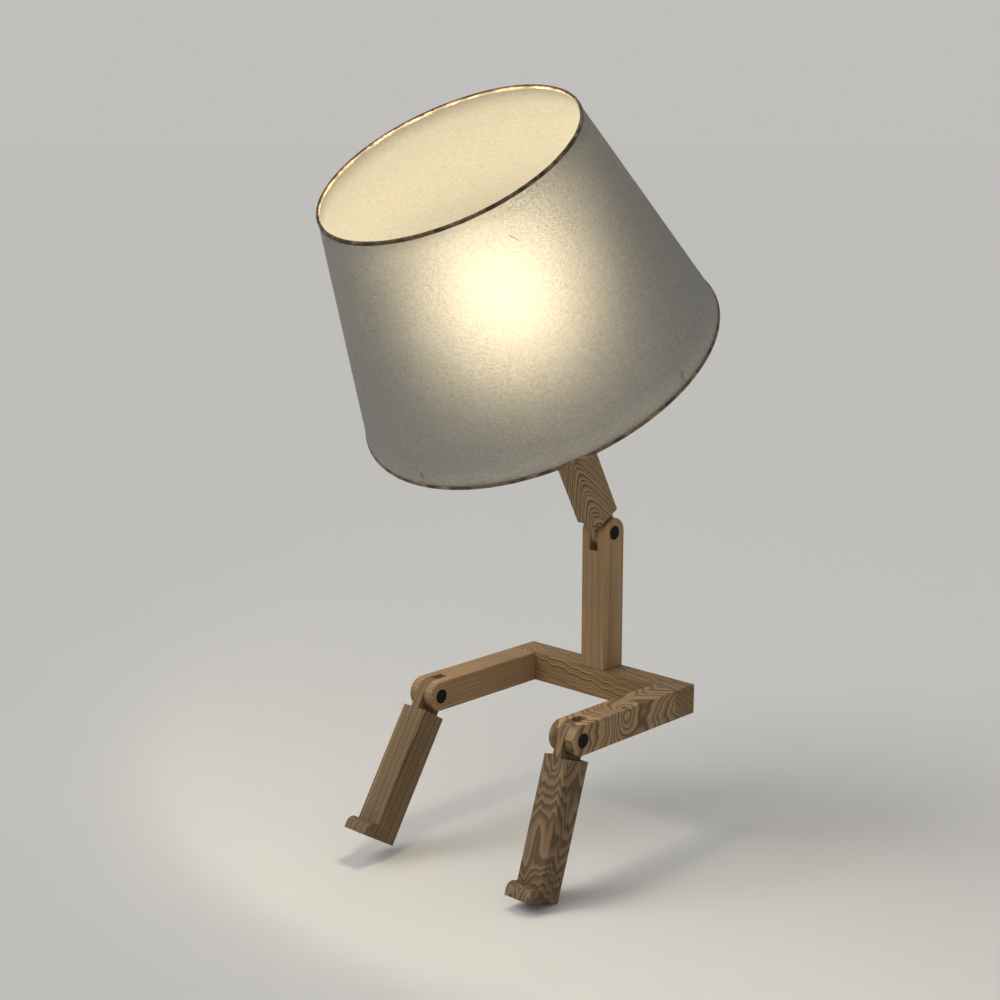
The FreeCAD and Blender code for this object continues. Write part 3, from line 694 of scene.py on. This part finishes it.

# Seen from inside, the paper shines evenly with a painted glow: an emission standing in for the bulb's
# light on the inner face, over a near-black colour. Light that leaves through the wall's thickness goes on
painted_inner_glow = 0.28
inside, tree = new_material("fibre paper, inner face")
mottled = ranged(tree, paper_grain(tree, upright(tree)), 0.36, 0.64, 0.92, 1.08)
face = add(tree, "ShaderNodeBsdfPrincipled", {
    "Base Color": scaled(tree, (0.035, 0.033, 0.027), mottled), "Roughness": 0.9,
    "Specular IOR Level": 0.1, "Emission Color": (1.0, 0.87, 0.61, 1.0),
    "Emission Strength": sum_of(tree, "MULTIPLY", mottled, painted_inner_glow)}).outputs[0]
behind = add(tree, "ShaderNodeNewGeometry").outputs["Backfacing"]
onward = refracted(tree, (1.0, 1.0, 1.0, 1.0), paper_scatter, paper_index)
finish_material(tree, add(tree, "ShaderNodeMixShader", {0: behind, 1: face, 2: onward}).outputs[0])

paper = new_object("paper_shade", put_on_head(paper_mesh), outside, inside)
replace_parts(paper, "shade")
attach(paper, "head")


# Loose fibres
# Short coarse fibres lie pressed into the paper's outer face, as in any hand-made sheet. One longer dark
# one curls near the upper rim, on the side that faces the camera.
fibre_brown = speckled("coarse fibre", (0.16, 0.135, 0.10), (0.26, 0.225, 0.17), 900.0, (0.7, 0.9))
fibre_dark = speckled("dark fibre", (0.035, 0.028, 0.020), (0.06, 0.05, 0.035), 900.0, (0.7, 0.9))
fibre_edge = 0.006
fibre_least = 0.0022
fibre_most = 0.0046
fibre_bow = 0.28
low_radius, low_height = on_wall(fibre_edge, half_wall)
high_radius, high_height = on_wall(wall_length - fibre_edge, half_wall)
fibre_values = {"Foot radius": low_radius, "Head radius": high_radius, "Height": high_height - low_height,
                "Density": 900.0, "Seed": 5, "Fibre radius": 0.00006, "Finish": fibre_brown}
fibre_tree, given = growing_tree("fibres on a cone", fibre_values)
cone = add(fibre_tree, "GeometryNodeMeshCone", {
    "Vertices": 180, "Side Segments": 24, "Radius Top": given["Head radius"],
    "Radius Bottom": given["Foot radius"], "Depth": given["Height"]}, fill_type="NONE")
spots = add(fibre_tree, "GeometryNodeDistributePointsOnFaces", {
    "Mesh": cone.outputs["Mesh"], "Density": given["Density"], "Seed": given["Seed"]})
arc = add(fibre_tree, "GeometryNodeCurveQuadraticBezier", {
    "Resolution": 5, "Start": (-0.5, 0.0, 0.0), "Middle": (0.0, fibre_bow, 0.0), "End": (0.5, 0.0, 0.0)})
length = add(fibre_tree, "FunctionNodeRandomValue", {
    "Min": fibre_least, "Max": fibre_most, "Seed": given["Seed"]}, data_type="FLOAT")
turn = add(fibre_tree, "FunctionNodeRandomValue", {
    "Min": 0.0, "Max": 2.0 * math.pi, "Seed": given["Seed"]}, data_type="FLOAT")
spin = add(fibre_tree, "FunctionNodeAxisAngleToRotation", {
    "Axis": (0.0, 0.0, 1.0), "Angle": turn.outputs["Value"]})
laid = add(fibre_tree, "FunctionNodeRotateRotation", {
    "Rotation": spots.outputs["Rotation"], "Rotate By": spin.outputs[0]}, rotation_space="LOCAL")
lying = add(fibre_tree, "GeometryNodeInstanceOnPoints", {
    "Points": spots.outputs["Points"], "Instance": arc.outputs[0], "Rotation": laid.outputs[0],
    "Scale": length.outputs["Value"]})
lying = add(fibre_tree, "GeometryNodeRealizeInstances", {"Geometry": lying.outputs[0]})
round_section = add(fibre_tree, "GeometryNodeCurvePrimitiveCircle", {
    "Resolution": 4, "Radius": given["Fibre radius"]})
strands = add(fibre_tree, "GeometryNodeCurveToMesh", {
    "Curve": lying.outputs[0], "Profile Curve": round_section.outputs["Curve"], "Fill Caps": True})
strands = add(fibre_tree, "GeometryNodeSetMaterial", {
    "Geometry": strands.outputs[0], "Material": given["Finish"]})
add(fibre_tree, "NodeGroupOutput", {0: strands.outputs[0]})

mesh = grown("loose_fibres", fibre_tree, fibre_values)
mesh.transform(Matrix.Translation((0.0, 0.0, low_height)))
fibres = new_object("loose_fibres", put_on_head(mesh))
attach(fibres, "head")

# The dark fibre's line is in millimetres, across and up from its middle
dark_fibre_radius = 0.00018
dark_fibre_height = 0.134
dark_fibre_aim = math.atan2(-0.485, 0.875)
dark_fibre_line = ((-1.7, 3.0), (-1.4, 1.7), (-0.6, 0.9), (0.3, 0.2), (0.9, -1.2), (1.6, -2.6))
curl = bpy.data.curves.new("dark fibre line", "CURVE")
curl.dimensions = "3D"
curl.bevel_depth = dark_fibre_radius
curl.bevel_resolution = 1
curl.use_fill_caps = True
strand = curl.splines.new("POLY")
strand.points.add(len(dark_fibre_line) - 1)
for spot, (across, up) in zip(strand.points, dark_fibre_line):
    radius, height = on_wall(dark_fibre_height + up / 1000.0, half_wall)
    turn = dark_fibre_aim + across / 1000.0 / radius
    spot.co = (radius * math.cos(turn), radius * math.sin(turn), height, 1.0)
curl_seed = bpy.data.objects.new("dark fibre seed", curl)
scene.collection.objects.link(curl_seed)
mesh = bpy.data.meshes.new_from_object(curl_seed.evaluated_get(bpy.context.evaluated_depsgraph_get()))
bpy.data.objects.remove(curl_seed)
dark_fibre = new_object("dark_fibre", put_on_head(mesh), fibre_dark)
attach(dark_fibre, "head")


# Rim bindings
# Strips of dark marbled paper folded round each rim wire and pasted down on both faces, a little uneven
# along their edges.
tape_thick = 0.00035
tape_reach = 0.0023
tape_columns = 480
edge_waver = 0.00016
edge_waver_scale = 22.0
outer_bend = 8
lining_start = rim_bead * 1.7


def marbled_paper(name, gain):
    """Blotches several millimetres long of copper, olive and dark brown."""
    material, tree = new_material(name)
    place = upright(tree)
    blot = noise_of(tree, place, 125.0, 2.0, Roughness=0.5, Distortion=0.6)
    speck = noise_of(tree, place, 1100.0, 2.0)
    marble = add(tree, "ShaderNodeValToRGB", {"Fac": sum_of(
        tree, "ADD", sum_of(tree, "MULTIPLY", blot, 0.82), sum_of(tree, "MULTIPLY", speck, 0.18))})
    bands = ((0.40, (0.050, 0.038, 0.022)), (0.47, (0.075, 0.058, 0.034)), (0.51, (0.260, 0.135, 0.075)),
             (0.55, (0.095, 0.070, 0.042)), (0.61, (0.290, 0.175, 0.105)))
    stops = marble.color_ramp.elements
    while len(stops) < len(bands):
        stops.new(0.5)
    for stop, (position, colour) in zip(stops, bands):
        stop.position = position
        stop.color = (*(gain * part for part in colour), 1.0)
    tape_bump = add(tree, "ShaderNodeBump", {"Height": speck, "Strength": 0.3, "Distance": 0.0001}).outputs[0]
    finish_material(tree, add(tree, "ShaderNodeBsdfPrincipled", {
        "Base Color": marble.outputs[0], "Roughness": 0.65, "Normal": tape_bump,
        "Specular IOR Level": 0.3}).outputs[0])
    return material


def binding(name, top, paper_finish):
    """The folded strip as one closed ring: its outer skin, then the lining against wire and paper."""
    section = [(tape_reach, half_wall + tape_thick)]
    for step in range(outer_bend + 1):
        turn = math.radians(90.0 + 180.0 * step / outer_bend)
        section.append((rim_bead + rim_bead * math.cos(turn), rim_bead * math.sin(turn)))
    section += [(tape_reach, -half_wall - tape_thick), (tape_reach, -half_wall), (lining_start, -half_wall),
                (lining_start, half_wall), (tape_reach, half_wall)]
    form = bmesh.new()
    rings = []
    for column in range(tape_columns):
        turn = 2.0 * math.pi * column / tape_columns
        around = Vector((math.cos(turn), math.sin(turn), 0.0))
        ring = []
        for number, (along, out) in enumerate(section):
            if along == tape_reach:
                drift = Vector((0.0, 0.0, number * 0.7 + 9.0 * top))
                along += edge_waver * noise.noise(around * edge_waver_scale + drift)
            if top:
                along = wall_length - along
            radius, height = on_wall(along, out)
            ring.append(form.verts.new((around.x * radius, around.y * radius, height)))
        rings.append(ring)
    for column in range(tape_columns):
        here, there = rings[column], rings[(column + 1) % tape_columns]
        for number in range(len(section)):
            after = (number + 1) % len(section)
            form.faces.new((here[number], here[after], there[after], there[number]))
    bmesh.ops.recalc_face_normals(form, faces=form.faces)
    for face in form.faces:
        face.smooth = True
    mesh = bpy.data.meshes.new(name)
    form.to_mesh(mesh)
    form.free()
    made = new_object(name, put_on_head(mesh), paper_finish)
    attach(made, "head")
    return made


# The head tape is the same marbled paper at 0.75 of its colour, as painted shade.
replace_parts(binding("bottom_tape", False, marbled_paper("marbled paper, foot", 1.0)), "bottom_binding")
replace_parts(binding("top_tape", True, marbled_paper("marbled paper, head, painted shade", 0.75)), "top_binding")
